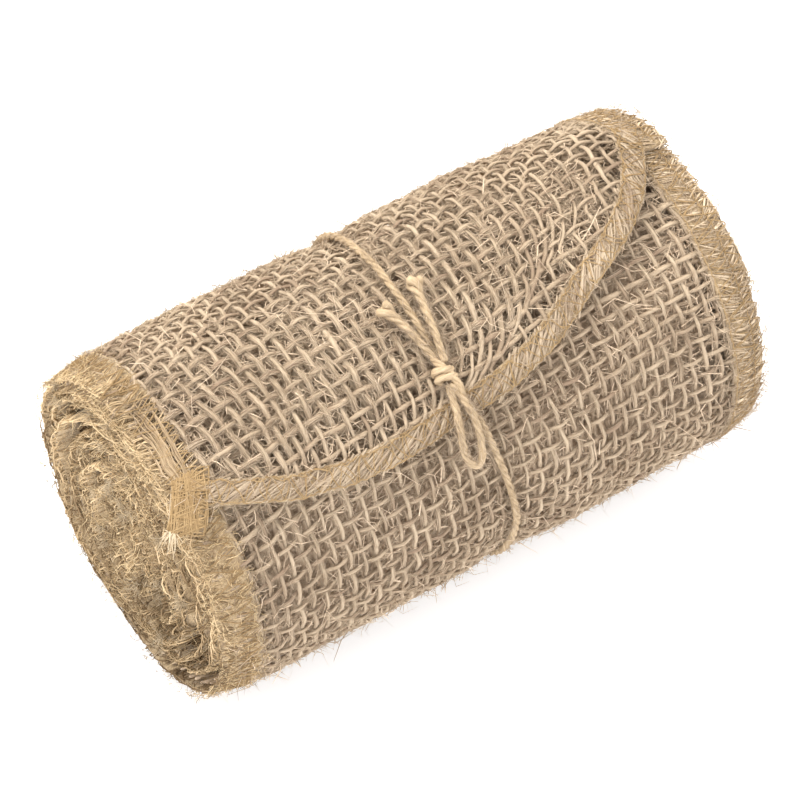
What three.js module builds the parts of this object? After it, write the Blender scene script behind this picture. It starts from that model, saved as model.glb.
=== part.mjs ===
// A roll of jute ribbon, tied round its middle with a twine bow.
// A strip of open plain weave is wound into a roll with no core. All four edges of the strip are
// overlocked. The outer end lies over the top of the roll and shows its hem on the front, and its left
// corner is free to lift. The twine goes once round the roll and is tied in a half bow, with one loop and
// two cut tails.
//
// Millimetres. The roll lies along X on the plane Z = 0, with its visible end hem on the -Y side.
// Angles are in degrees from the top of the roll towards the front, and are counted on down by 360 for
// each turn that the strip makes inwards.

import * as THREE from "three";
import { mergeVertices } from "three/addons/utils/BufferGeometryUtils.js";

// The strip
const stripWidth = 145;
const hemWidth = 8.5;
const clothThickness = 1.8;
const hemThickness = 2.3;
const turnPitch = 2.6; // from one turn to the next, set by the hems, which are the thickest part
const hemProud = 0.25; // how far the end hem stands above the cloth that it edges
const gap = 0.3; // between pieces that touch on the real roll

// The roll
const rollRadiusY = 42.2;
const rollRadiusZ = 41.0;
const coreRadius = 4.8; // of the innermost turn
const footSquash = 1.6; // how much the roll's weight flattens its underside
const freeEndAngle = 46; // where the spiral starts, near the middle of the end hem
const flapStartAngle = -15; // where the free end leaves the part that stays wound
const spiralStep = 15; // degrees between the vertices of a turn

// The twine
const twineDiameter = 1.6;
const knotAngle = 34;
const knotX = -5.1;

const halfWidth = stripWidth / 2;
const clothHalf = halfWidth - hemWidth;
const maxDepth = rollRadiusZ - coreRadius;
const totalTurns = maxDepth / turnPitch;
const wrapEndAngle = flapStartAngle - 360; // where the outer wrap gives way to the inner turns
const footDepth = (turnPitch * (freeEndAngle + 180)) / 360;
const centreHeight = rollRadiusZ - footDepth - footSquash;

const jute = { color: 0xb39a7c, roughness: 0.95, metalness: 0 };
const hemJute = { color: 0xc2a478, roughness: 0.95, metalness: 0 };
const twine = { color: 0xd2b98f, roughness: 0.9, metalness: 0 };

const roll = new THREE.Group();

function addPiece(name, geometry, finish) {
  const mesh = new THREE.Mesh(geometry, new THREE.MeshStandardMaterial(finish));
  mesh.name = name;
  roll.add(mesh);
  return mesh;
}

// The depth of the strip's outer face where it has been wound inwards to this unwrapped angle, which
// starts at freeEndAngle and goes down by 360 for each turn.
function spiralDepth(angle) {
  return (turnPitch * (freeEndAngle - angle)) / 360;
}

// A point of the strip that lies below its outer face by the given amount, at an unwrapped angle. Each
// turn is flattened to a level of its own where it crosses the foot.
function stripPoint(x, angle, below) {
  const depth = spiralDepth(angle) + below;
  const a = THREE.MathUtils.degToRad(angle);
  const y = -(rollRadiusY - depth) * Math.sin(a);
  const z = centreHeight + (rollRadiusZ - depth) * Math.cos(a);
  const turn = Math.round((-180 - angle) / 360);
  return new THREE.Vector3(x, y, Math.max(z, turn * turnPitch + below));
}

function smooth(from, to, value) {
  return THREE.MathUtils.smoothstep(value, from, to);
}

// Linear interpolation in a list of [key, value] pairs that is in order of key.
function along(pairs, key) {
  const next = pairs.findIndex(([k]) => k >= key);
  if (next === 0) return pairs[0][1];
  if (next < 0) return pairs[pairs.length - 1][1];
  const [k0, v0] = pairs[next - 1];
  const [k1, v1] = pairs[next];
  return THREE.MathUtils.mapLinear(key, k0, k1, v0, v1);
}

// ---- wound cloth: a stretch of the spiral as a thin solid from x0 to x1

// The angles of its vertices: both ends, and every whole step between them.
function woundAngles(fromAngle, toAngle) {
  const angles = [fromAngle];
  const firstStep = Math.ceil(fromAngle / spiralStep) * spiralStep - spiralStep;
  for (let a = firstStep; a > toAngle; a -= spiralStep) angles.push(a);
  return [...angles, toAngle];
}

function woundStrip(x0, x1, fromAngle, toAngle, thickness) {
  const angles = woundAngles(fromAngle, toAngle);
  const outer = angles.map((a) => stripPoint(0, a, 0));
  const inner = angles.map((a) => stripPoint(0, a, thickness));
  const section = new THREE.Shape(
    [...outer, ...inner.reverse()].map((p) => new THREE.Vector2(p.y, p.z)),
  );
  const solid = new THREE.ExtrudeGeometry(section, { depth: x1 - x0, bevelEnabled: false });
  // The section's plane is turned to YZ, so that its depth runs along X.
  const toRow = new THREE.Matrix4().makeBasis(
    new THREE.Vector3(0, 1, 0),
    new THREE.Vector3(0, 0, 1),
    new THREE.Vector3(1, 0, 0),
  );
  return solid.applyMatrix4(toRow).translate(x0, 0, 0);
}

// ---- laid cloth: a box of cells bent onto the roll. placeAt gives the point for (u, v, w): u runs along
// x, v from the higher angle to the lower, and w from the inner face to the outer.

function bentBox(cellsU, cellsV, placeAt) {
  const box = new THREE.BoxGeometry(1, 1, 1, cellsU, cellsV, 1);
  box.deleteAttribute("normal");
  box.deleteAttribute("uv");
  const solid = mergeVertices(box);
  const position = solid.attributes.position;
  for (let i = 0; i < position.count; i++) {
    const p = placeAt(position.getX(i) + 0.5, position.getY(i) + 0.5, position.getZ(i) + 0.5);
    position.setXYZ(i, p.x, p.y, p.z);
  }
  solid.computeVertexNormals();
  return solid;
}

// A patch from x0 to x1 between two edges, each a function of x that gives an angle.
function laidPatch({ x0, x1, cellsX, cellsAngle, topEdge, lowerEdge, proud = 0, thickness }) {
  return bentBox(cellsX, cellsAngle, (u, v, w) => {
    const x = THREE.MathUtils.lerp(x0, x1, u);
    const angle = THREE.MathUtils.lerp(lowerEdge(x), topEdge(x), v);
    return stripPoint(x, angle, (1 - w) * thickness - proud);
  });
}

// ---- the end hem: the angle of its lower edge along the roll. The cloth is cut and wound a little
// askew, so the hem sweeps up to the right-hand end of the roll.

const hemEdgeLine = [
  [-72.5, 35],
  [-60, 40],
  [-48, 46],
  [-35, 49.5],
  [-22, 50],
  [-4, 48.5],
  [8, 46],
  [20, 41],
  [34, 30],
  [47, 22],
  [57, 13],
  [64, -1],
  [72.5, -8],
];
const hemHeight = 8.5; // degrees of the roll that the end hem covers
const hemLower = (x) => along(hemEdgeLine, x);
const hemUpper = (x) => hemLower(x) - hemHeight;
const seam = 0.7; // degrees left open between pieces of the free end, about 0.5 mm on the roll

// ---- the crease of the free corner, a straight line on the unrolled cloth

const creaseStart = { x: -36, angle: hemLower(-36) };
const creaseEnd = { x: -halfWidth, angle: 10 };
const crease = (x) =>
  THREE.MathUtils.mapLinear(x, creaseStart.x, creaseEnd.x, creaseStart.angle, creaseEnd.angle);

// ---- the tie: where the twine goes round, and how deep it nips the outer wrap there

const tieLine = [
  [-326, -5.1],
  [-319, -4.2],
  [-310, -2.4],
  [-292, 0.8],
  [-267, 3.2],
  [-230, 3.4],
  [-180, 2.4],
  [-135, 1.6],
  [-90, 0.8],
  [-41, -1.5],
  [0, -4],
  [34, -5.1],
];
const nipLine = [
  [-300, 0.2],
  [-285, 0.9],
  [-235, 0.9],
  [-205, 2.0],
  [-155, 2.0],
  [-120, 0.9],
  [-60, 0.9],
  [-22, 0],
];
const tieX = (angle) => along(tieLine, angle);
const nip = (angle) => along(nipLine, angle);
const grooveSlack = 0.7; // how far the cloth under the twine sinks before it starts to be squeezed thin

// The outer wrap has its vertices at the same angles as the turns below it, and a groove for the twine.
function grooveWrap(toAngle) {
  const grooveStations = [-8, -5, -2.2, 2.2, 5, 8];
  const angles = woundAngles(flapStartAngle, toAngle);
  const inner = clothHalf - gap / 2;
  return bentBox(grooveStations.length + 3, angles.length - 1, (u, v, w) => {
    const angle = angles[Math.round(v * (angles.length - 1))];
    const stations = [-inner, -34, ...grooveStations.map((s) => tieX(angle) + s), 34, inner];
    const x = stations[Math.round(u * (stations.length - 1))];
    const fromTie = Math.abs(x - tieX(angle));
    const pressed = nip(angle) * (1 - smooth(grooveStations[3], grooveStations[5], fromTie));
    const thickness = Math.min(clothThickness, clothThickness + grooveSlack - pressed);
    return stripPoint(x, angle, pressed + (1 - w) * thickness);
  });
}

function addWoundCloth() {
  const innerEnd = freeEndAngle - 360 * totalTurns;
  const cut = 2; // degrees left open where one piece of the strip ends and the next starts
  const innerHemAngle = 60; // degrees of the innermost turn that its end hem covers
  const innerHemStart = innerEnd + innerHemAngle;
  const inner = clothHalf - gap / 2;
  addPiece("outer_wrap", grooveWrap(wrapEndAngle + cut), jute);
  addPiece(
    "inner_turns",
    woundStrip(-inner, inner, wrapEndAngle, innerHemStart + cut * 3, clothThickness),
    jute,
  );
  addPiece(
    "inner_end_hem",
    woundStrip(-inner, inner, innerHemStart, innerEnd, hemThickness),
    hemJute,
  );
  for (const [name, x0, x1] of [
    ["left_edge_hem", -halfWidth, -clothHalf - gap / 2],
    ["right_edge_hem", clothHalf + gap / 2, halfWidth],
  ])
    addPiece(name, woundStrip(x0, x1, flapStartAngle, innerEnd, hemThickness), hemJute);
}

function addFreeEnd() {
  const top = () => flapStartAngle + seam;
  const inner = clothHalf - gap / 2;
  const flapRight = 62; // past here the end hem has reached the flap's upper edge
  const flap = laidPatch({
    x0: -inner,
    x1: flapRight,
    cellsX: 24,
    cellsAngle: 6,
    topEdge: top,
    lowerEdge: (x) => Math.min(hemUpper(x), crease(x)) - seam,
    thickness: clothThickness,
  });
  addPiece("free_end_flap", flap, jute);

  const endHem = laidPatch({
    x0: creaseStart.x + gap,
    x1: halfWidth,
    cellsX: 22,
    cellsAngle: 1,
    topEdge: (x) => Math.max(hemUpper(x), flapStartAngle + seam),
    lowerEdge: hemLower,
    proud: hemProud,
    thickness: hemThickness,
  });
  addPiece("end_hem", endHem, hemJute);

  const leftSide = laidPatch({
    x0: -halfWidth,
    x1: -clothHalf - gap / 2,
    cellsX: 2,
    cellsAngle: 2,
    topEdge: top,
    lowerEdge: (x) => crease(x) - seam,
    thickness: hemThickness,
  });
  addPiece("left_flap_hem", leftSide, hemJute);
}

// The left corner of the free end, below the crease.
function addFreeCorner() {
  const inner = clothHalf - gap / 2;
  const upper = (x) => crease(x) + seam;
  const clothRight = -52.5; // where the cloth runs out between the crease and the end hem
  const cloth = laidPatch({
    x0: -inner,
    x1: clothRight,
    cellsX: 8,
    cellsAngle: 3,
    topEdge: upper,
    lowerEdge: (x) => hemUpper(x) - seam,
    thickness: clothThickness,
  });
  addPiece("corner_cloth", cloth, jute);

  const endHem = laidPatch({
    x0: -inner,
    x1: creaseStart.x - gap,
    cellsX: 10,
    cellsAngle: 1,
    topEdge: (x) => Math.max(hemUpper(x), upper(x)),
    lowerEdge: hemLower,
    proud: hemProud,
    thickness: hemThickness,
  });
  addPiece("corner_end_hem", endHem, hemJute);

  const sideHem = laidPatch({
    x0: -halfWidth,
    x1: -clothHalf - gap / 2,
    cellsX: 2,
    cellsAngle: 2,
    topEdge: upper,
    lowerEdge: (x) => hemUpper(x) - seam,
    thickness: hemThickness,
  });
  addPiece("corner_side_hem", sideHem, hemJute);

  // The two overlocks cross at the corner in a thick tab that reaches past the roll's end.
  const tabReach = 4;
  const tab = laidPatch({
    x0: -halfWidth - tabReach,
    x1: -clothHalf - gap / 2,
    cellsX: 4,
    cellsAngle: 2,
    topEdge: hemUpper,
    lowerEdge: (x) => hemLower(x) + 1,
    proud: hemProud,
    thickness: hemThickness,
  });
  addPiece("corner_tab", tab, hemJute);
}

// ---- the twine, swept along a curve as a tube with flat ends

function twineAlong(points, steps) {
  const sides = 8;
  const section = new THREE.Shape();
  section.absarc(0, 0, twineDiameter / 2, 0, 2 * Math.PI);
  return new THREE.ExtrudeGeometry(section, {
    extrudePath: new THREE.CatmullRomCurve3(points, false, "centripetal"),
    steps,
    curveSegments: sides / 2, // three doubles this for a circle
    bevelEnabled: false,
  });
}

// Places on the free end as [x, angle, height of the twine's middle above the cloth].
function twinePoints(places) {
  return places.map(([x, angle, height]) => stripPoint(x, angle, -height));
}

const knotSize = { x: 5.0, along: 5.6, high: 4.2 };
const overHem = hemProud + gap + twineDiameter / 2; // height of the twine's middle where it crosses the hem
const knotHalfAngle = THREE.MathUtils.radToDeg(knotSize.along / 2 / rollRadiusY);

function addTie() {
  const clearance = 0.7; // degrees between the knot and the ends of the twine's ring
  const onHemUntil = 53; // the twine is on the free end's hem above this angle
  const onWrapFrom = 66; // and on the outer wrap below this one
  const ring = [];
  const lowerStart = knotAngle + knotHalfAngle + clearance;
  const upperEnd = knotAngle - knotHalfAngle - clearance;
  for (let a = lowerStart; a < onHemUntil; a += 5) ring.push(stripPoint(tieX(a - 360), a, -overHem));
  const onCloth = gap + twineDiameter / 2;
  for (let a = onWrapFrom - 360; a < flapStartAngle; a += 6)
    ring.push(stripPoint(tieX(a), a, nip(a) - onCloth));
  for (let a = flapStartAngle + 3; a < upperEnd - 3; a += 6) ring.push(stripPoint(tieX(a), a, -overHem));
  ring.push(stripPoint(tieX(upperEnd), upperEnd, -overHem));
  addPiece("tie_ring", twineAlong(ring, 78), twine);

  const knotBall = new THREE.SphereGeometry(0.5, 12, 8);
  const knot = addPiece("bow_knot", knotBall.scale(knotSize.x, knotSize.along, knotSize.high), twine);
  const knotHeight = hemProud + gap + knotSize.high / 2;
  knot.position.copy(stripPoint(knotX, knotAngle, -knotHeight));
  knot.rotation.x = THREE.MathUtils.degToRad(knotAngle);
}

// The loop lies down the front from the knot, and the tails lie up over the roll.
function addBow() {
  const low = knotAngle + knotHalfAngle + 1.2;
  const high = knotAngle - knotHalfAngle - 1.2;
  const loop = twinePoints([
    [knotX - 1.3, low, 2.6],
    [knotX - 2.2, low + 5, 3.1],
    [knotX - 3.4, low + 11, 3.5],
    [knotX - 3.8, low + 17, 3.7],
    [knotX - 2.9, low + 22, 3.7],
    [knotX - 0.6, low + 23.6, 3.7],
    [knotX + 1.6, low + 21, 3.7],
    [knotX + 2.4, low + 15, 3.7],
    [knotX + 2.3, low + 8, 3.5],
    [knotX + 1.6, low + 2.5, 3.1],
    [knotX + 1.2, low, 2.8],
  ]);
  addPiece("bow_loop", twineAlong(loop, 32), twine);
  const leftTail = twinePoints([
    [knotX - 1.4, high, 2.4],
    [knotX - 2.2, high - 7, 2.1],
    [knotX - 3.4, high - 15, 2.0],
    [knotX - 5.2, high - 23, 2.3],
  ]);
  addPiece("left_tail", twineAlong(leftTail, 12), twine);
  const rightTail = twinePoints([
    [knotX + 1.4, high, 2.9],
    [knotX + 2.6, high - 7, 2.5],
    [knotX + 3.8, high - 15, 2.2],
    [knotX + 5.2, high - 25, 2.3],
  ]);
  addPiece("right_tail", twineAlong(rightTail, 12), twine);
}

addWoundCloth();
addFreeEnd();
addFreeCorner();
addTie();
addBow();

// The origin is at the middle of the overall box, on the plane that the foot rests on.
const middle = new THREE.Box3().setFromObject(roll).getCenter(new THREE.Vector3());
for (const mesh of roll.children) mesh.position.add(new THREE.Vector3(-middle.x, -middle.y, 0));

export default roll;
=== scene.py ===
import bpy
import numpy as np
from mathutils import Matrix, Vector


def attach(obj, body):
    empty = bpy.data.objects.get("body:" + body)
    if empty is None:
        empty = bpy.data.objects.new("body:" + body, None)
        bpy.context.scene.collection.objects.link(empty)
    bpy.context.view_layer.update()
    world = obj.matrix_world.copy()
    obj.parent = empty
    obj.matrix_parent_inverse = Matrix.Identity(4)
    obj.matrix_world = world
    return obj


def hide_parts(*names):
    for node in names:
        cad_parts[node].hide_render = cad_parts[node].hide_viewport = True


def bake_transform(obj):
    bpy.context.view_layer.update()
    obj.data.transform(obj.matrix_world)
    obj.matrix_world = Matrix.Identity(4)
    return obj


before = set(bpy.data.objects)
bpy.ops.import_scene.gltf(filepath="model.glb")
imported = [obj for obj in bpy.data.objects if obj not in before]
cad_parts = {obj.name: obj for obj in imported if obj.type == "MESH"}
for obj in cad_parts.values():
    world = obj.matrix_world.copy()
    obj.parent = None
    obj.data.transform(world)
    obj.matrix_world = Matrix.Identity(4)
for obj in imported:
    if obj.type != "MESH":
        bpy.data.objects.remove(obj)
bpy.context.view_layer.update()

# A roll of open-weave jute ribbon, tied round its middle with a twine bow.
#
# Sizes here are in millimetres, and place() turns them into metres in the row frame. A place on the strip
# is (x, arc, high): x along the roll from the middle of the strip's width, arc in millimetres from the top of
# the roll towards the front, counted on down for each turn that the strip makes inwards, and high above the
# outer face of the cloth.

MM = 0.001
PER_DEGREE = 40.157 * np.pi / 180  # arc on the roll's surface
TURN = 360 * PER_DEGREE
RADIUS_Y, RADIUS_Z = 42.2, 41.0
PITCH = 2.6  # from one turn to the next
START_DEGREES = 46
FREE_END = START_DEGREES * PER_DEGREE  # where the spiral starts
CORE = 4.8  # radius of the innermost turn
FOOT_DEPTH = PITCH * (START_DEGREES + 180) / 360
CENTRE = RADIUS_Z - FOOT_DEPTH - 1.6
SHIFT = (2.0, -0.294)  # from the middle of the strip to the row frame's origin
HALF = 72.5  # half of the strip's width
CLOTH = 64.0  # the weave is open this far out from the middle, and hem from there on
INNER_END = FREE_END - TURN * (RADIUS_Z - CORE) / PITCH
FLAP_START = -15 * PER_DEGREE
LAYERS = {"outer": (FLAP_START - TURN - 8, FLAP_START),
          "second": (FLAP_START - 2 * TURN - 8, FLAP_START - TURN - 8)}
MID_CLOTH = -0.9  # the middle of the cloth's thickness
BAND_TURNS = 2.3  # from one pale band on the roll's ends to the next

TWINE = 1.8
KNOT_DEGREES = 34
KNOT_X, KNOT_ARC = -5.1, KNOT_DEGREES * PER_DEGREE

# (degrees, x) of the twine round the roll, and (degrees, depth) of the groove that it presses
TIE_LINE = np.array([(-326, -5.1), (-319, -4.2), (-310, -2.4), (-292, 0.8), (-267, 3.2), (-230, 3.4),
                     (-180, 2.4), (-135, 1.6), (-90, 0.8), (-41, -1.5), (0, -4.0), (34, -5.1)])
GROOVE_LINE = np.array([(-326, 0.3), (-300, 0.4), (-285, 0.9), (-235, 0.9), (-205, 2.0), (-155, 2.0),
                        (-120, 0.9), (-60, 0.9), (-22, 0.2), (34, 0.3)])

# the middle line of the end hem as (x, arc): it sags left of the twine and sweeps up at the right-hand end
END_HEM_LINE = np.array([(-69, 20.6), (-63, 23.2), (-56, 26), (-48, 29.2), (-34, 31.9), (-22, 32.4),
                         (-8, 30.8), (7, 29.2), (19, 25.8), (27, 22), (35, 18), (47, 12.4), (56, 5.5),
                         (62, -4), (66.5, -15), (69, -26)])


def smooth(low, high, v):
    """0 below low and 1 above high, with a smooth cubic between them; low may be the greater of the two."""
    t = np.clip((v - low) / (high - low), 0, 1)
    return t * t * (3 - 2 * t)


def ripple(seed, size, *coords):
    """A slow uneven wave of about -1 to 1: a sum of sines in random directions, each about size long."""
    rng = np.random.default_rng(seed)
    total = 0
    for _ in range(6):
        way = rng.normal(0, 1, len(coords))
        total = total + np.sin(sum(w * c for w, c in zip(way, coords)) * (2.6 / size) + rng.uniform(0, 6.28))
    return total / 3.2


def unit(v, tiny=0.0):
    """v scaled to length 1 along its last axis. tiny keeps a zero vector from a division by zero."""
    return v / (np.linalg.norm(v, axis=-1, keepdims=True) + tiny)


def round_tie(arc):
    """An unwrapped arc as the degrees of TIE_LINE, which run once round the roll from the knot."""
    return np.mod(arc / PER_DEGREE - KNOT_DEGREES, -360) + KNOT_DEGREES


def tie_x(arc):
    """The x of the twine round the roll at an arc."""
    return np.interp(round_tie(arc), TIE_LINE[:, 0], TIE_LINE[:, 1])


def place(x, arc, high):
    """Metres in the row frame. The section is a spiral of ellipses, each turn flattened smoothly on the foot.
    Outer turns are pressed in under the twine, swollen beside it and drawn in at the ends, and stand further
    out at the right end's top and back. Inner turns are warped together by a slow wave, so that none crosses
    another."""
    x, arc, high = np.broadcast_arrays(*(np.asarray(v, float) for v in (x, arc, high)))
    degrees = arc / PER_DEGREE
    turn = np.round((-180 - degrees) / 360)
    depth = PITCH * (START_DEGREES - degrees) / 360 - high
    outer = np.clip(1 - depth / 14, 0, 1)  # how much of the outer turns' shape is felt at this depth
    from_tie = x - tie_x(arc)
    groove = np.interp(round_tie(arc), GROOVE_LINE[:, 0], GROOVE_LINE[:, 1]) * np.exp(-(from_tie / 4.5) ** 2)
    swell = 0.8 * (1 - np.exp(-(from_tie / 8) ** 2)) + 0.7 * np.exp(-((x - 26) / 17) ** 2)
    full = (0.5 + 0.5 * np.cos(np.radians(degrees + 60))) * smooth(40, 72, x)
    drawn = (3.0 - 1.0 * full) * smooth(54, 75, np.abs(x)) ** 1.3
    uneven = 0.35 * ripple(3, 34, x, arc)
    depth = depth + (groove - swell + drawn + uneven) * outer
    a = np.radians(degrees)
    y = -(RADIUS_Y - depth) * np.sin(a)
    z = CENTRE + (RADIUS_Z - depth) * np.cos(a)
    inside = smooth(0.1, 0.45, depth / RADIUS_Z)
    y = y + 1.5 * inside * np.sin(z * 0.13 + 1.0)
    z = z + 1.2 * inside * np.sin(y * 0.15 + 0.4)
    floor = turn * PITCH - high
    z = 0.5 * (z + floor + np.sqrt((z - floor) ** 2 + 1.0))
    x = x + 2.6 * full * (0.4 + 0.6 * outer)
    return np.stack([x + SHIFT[0], y + SHIFT[1], z], -1) * MM


def outward(x, arc):
    """The unit direction out of the roll at a place on the strip."""
    return unit(place(x, arc, 0.5) - place(x, arc, -0.5))


def roundward(x, arc):
    """The unit direction round the roll, the way that arc grows, at a place on the strip."""
    return unit(place(x, arc + 0.5, 0) - place(x, arc - 0.5, 0))


# ---- materials


class Value:
    """One shader socket, so that maths on it can be written as an expression."""

    def __init__(self, finish, socket):
        self.finish, self.socket = finish, socket

    def maths(self, operation, a, b=0.0):
        return self.finish.node("ShaderNodeMath", {"operation": operation}, {0: a, 1: b})

    def __add__(self, other):
        return self.maths("ADD", self, other)

    def __sub__(self, other):
        return self.maths("SUBTRACT", self, other)

    def __rsub__(self, other):
        return self.maths("SUBTRACT", other, self)

    def __mul__(self, other):
        return self.maths("MULTIPLY", self, other)

    __radd__, __rmul__ = __add__, __mul__

    def sine(self):
        return self.maths("SINE", self)

    def cosine(self):
        return self.maths("COSINE", self)

    def clamped(self):
        return self.finish.node("ShaderNodeClamp", {}, {0: self})


class Finish:
    """A material being made. node() adds a node and gives back its first output, or the one named."""

    def __init__(self, name):
        self.material = bpy.data.materials.new(name)
        self.material.use_nodes = True
        self.tree = self.material.node_tree
        self.surface = self.tree.nodes["Principled BSDF"]

    def node(self, kind, settings, sockets, output=0):
        made = self.tree.nodes.new(kind)
        for key, value in settings.items():
            setattr(made, key, value)
        for key, value in sockets.items():
            if isinstance(value, Value):
                self.tree.links.new(value.socket, made.inputs[key])
            else:
                made.inputs[key].default_value = value
        return Value(self, made.outputs[output])

    def mix(self, share, a, b):
        """The colour a where share is 0 and b where it is 1."""
        a, b = ((*c, 1.0) if isinstance(c, tuple) else c for c in (a, b))
        return self.node("ShaderNodeMix", {"data_type": "RGBA"}, {0: share, 6: a, 7: b}, 2)

    def noise(self, where, scale, detail, rough=0.5):
        """Noise from 0 to 1 at a place, scale waves to each unit of it."""
        return self.node("ShaderNodeTexNoise", {}, {"Vector": where, "Scale": scale, "Detail": detail,
                                                    "Roughness": rough})

    def three_tones(self, light, dark, mid, pale):
        """The colour that goes from dark through mid to pale as light goes from 0 to 1."""
        low = self.mix((light * 2.0).clamped(), dark, mid)
        return self.mix((light * 2.0 - 1.0).clamped(), low, pale)

    def set(self, **sockets):
        for key, value in sockets.items():
            socket = self.surface.inputs[key.replace("_", " ")]
            if isinstance(value, Value):
                self.tree.links.new(value.socket, socket)
            else:
                socket.default_value = value


def spun_yarn(name, pale, mid, dark, fibre=0.6, twist=0.9, fuzzy=0.5, toned=0.55, ridge=0.0):
    """Spun fibre. Fine streaks run along the yarn's twist: noise on a helix drawn from the yarn's own UV map,
    centimetres along and turns around. Each yarn has its own tone, and slow patches run over the whole
    cloth. With a ridge, light and shade are painted on: the side that faces out of the cloth is painted
    paler, a painted highlight on the yarn's crest, and the flanks darker, painted shade."""
    f = Finish(name)
    uv = f.node("ShaderNodeUVMap", {"uv_map": "yarn"}, {})
    along = f.node("ShaderNodeSeparateXYZ", {}, {0: uv}, 0)
    around = f.node("ShaderNodeSeparateXYZ", {}, {0: uv}, 1)
    tone = f.node("ShaderNodeAttribute", {"attribute_name": "tone"}, {}, 2)
    turn = (around + along * twist) * (2 * np.pi)
    helix = f.node("ShaderNodeCombineXYZ", {}, {0: turn.cosine() * (1.6 * fibre),
                                               1: turn.sine() * (1.6 * fibre),
                                               2: along * 2.6 + tone * 60.0})
    streaks = f.noise(helix, 1.7, 4.0, 0.65)
    place_on = f.node("ShaderNodeTexCoord", {}, {}, 3)
    patches = f.noise(place_on, 55.0, 2.0)
    grain = f.noise(place_on, 1500.0, 3.0)
    # painted highlight: the side of the yarn that faces out of the cloth is painted paler
    painted_crest_light = (around * (2 * np.pi)).sine() * ridge
    light = (streaks - 0.5) * 2.3 + (patches - 0.5) * 0.9 + (tone - 0.5) * toned
    # the ridge also lowers the whole yarn's tone, so its flanks carry painted shade
    light = (light + painted_crest_light + (0.5 - ridge * 0.3)).clamped()
    colour = f.three_tones(light, dark, mid, pale)
    colour = f.mix((grain - 0.35) * 0.5, colour, dark)
    height = streaks * 0.7 + grain * 0.5
    bump = f.node("ShaderNodeBump", {}, {"Strength": 0.75, "Distance": 0.0003, "Height": height})
    f.set(Base_Color=colour, Roughness=0.72 + (1.0 - streaks) * 0.3, Normal=bump)
    f.set(Sheen_Weight=fuzzy * 0.3, Sheen_Roughness=0.5, Sheen_Tint=(*pale, 1.0), Specular_IOR_Level=0.18)
    return f.material


def matted(name, pale, mid, dark):
    """Cloth seen deep in the roll: matted fibre, from coarse and fine noise on Object coordinates."""
    f = Finish(name)
    place_on = f.node("ShaderNodeTexCoord", {}, {}, 3)
    clumps = f.noise(place_on, 420.0, 5.0, 0.7)
    fine = f.noise(place_on, 2600.0, 3.0)
    light = ((clumps - 0.5) * 2.6 + (fine - 0.5) * 1.2 + 0.45).clamped()
    colour = f.three_tones(light, dark, mid, pale)
    height = clumps + fine * 0.5
    bump = f.node("ShaderNodeBump", {}, {"Strength": 0.9, "Distance": 0.0006, "Height": height})
    f.set(Base_Color=colour, Roughness=0.8 + fine * 0.2, Normal=bump)
    f.set(Sheen_Weight=0.2, Sheen_Roughness=0.5, Specular_IOR_Level=0.2)
    return f.material


# ridge paints a highlight on each yarn's crest and shade on its flanks
hoop_jute = spun_yarn("pale_jute_yarn", (0.52, 0.415, 0.298), (0.41, 0.318, 0.225),
                      (0.30, 0.22, 0.152), fibre=0.38, ridge=0.16)
axial_jute = spun_yarn("jute_yarn", (0.48, 0.378, 0.268), (0.385, 0.296, 0.205),
                       (0.28, 0.20, 0.138), fibre=0.38, ridge=0.16)
# The second layer's yarns: the same jute painted much paler than the outer yarns, painted light that makes up
# for the shade they lie in
painted_light_deep_jute = spun_yarn("second_layer_yarn_painted_paler", (0.70, 0.55, 0.40), (0.56, 0.43, 0.305), (0.36, 0.26, 0.18))
nap_jute = spun_yarn("brown_nap_fibre", (0.86, 0.685, 0.505), (0.66, 0.515, 0.37),
                     (0.34, 0.245, 0.17), fibre=0.2, toned=1.1)
hem_jute = spun_yarn("hem_jute_yarn", (0.78, 0.60, 0.375), (0.57, 0.415, 0.24),
                     (0.23, 0.155, 0.085), toned=1.2)
pale_hem_jute = spun_yarn("pale_hem_yarn", (0.82, 0.67, 0.49), (0.65, 0.51, 0.35),
                          (0.38, 0.275, 0.175), toned=1.0)
thread_gold = spun_yarn("overlock_thread", (0.49, 0.345, 0.19), (0.365, 0.245, 0.12),
                        (0.215, 0.14, 0.068), fibre=0.5)
twine_jute = spun_yarn("twine_jute", (0.61, 0.475, 0.32), (0.475, 0.355, 0.225),
                       (0.30, 0.21, 0.125), fibre=0.4)
hair_jute = spun_yarn("loose_jute_fibre", (0.72, 0.585, 0.44), (0.52, 0.40, 0.28),
                      (0.31, 0.22, 0.145), fibre=0.2)
end_hair_jute = spun_yarn("loose_golden_fibre", (0.92, 0.72, 0.44), (0.66, 0.475, 0.265),
                          (0.20, 0.13, 0.065), fibre=0.2, toned=1.7)
tuft_jute = spun_yarn("pale_fluff", (0.70, 0.585, 0.42), (0.58, 0.465, 0.32), (0.42, 0.315, 0.195), fibre=0.2)
inner_cloth = matted("inner_cloth", (0.74, 0.58, 0.42), (0.55, 0.415, 0.29), (0.26, 0.185, 0.125))
hem_cloth = matted("hem_cloth", (0.62, 0.475, 0.30), (0.45, 0.33, 0.195), (0.22, 0.15, 0.085))


# ---- meshes


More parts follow.
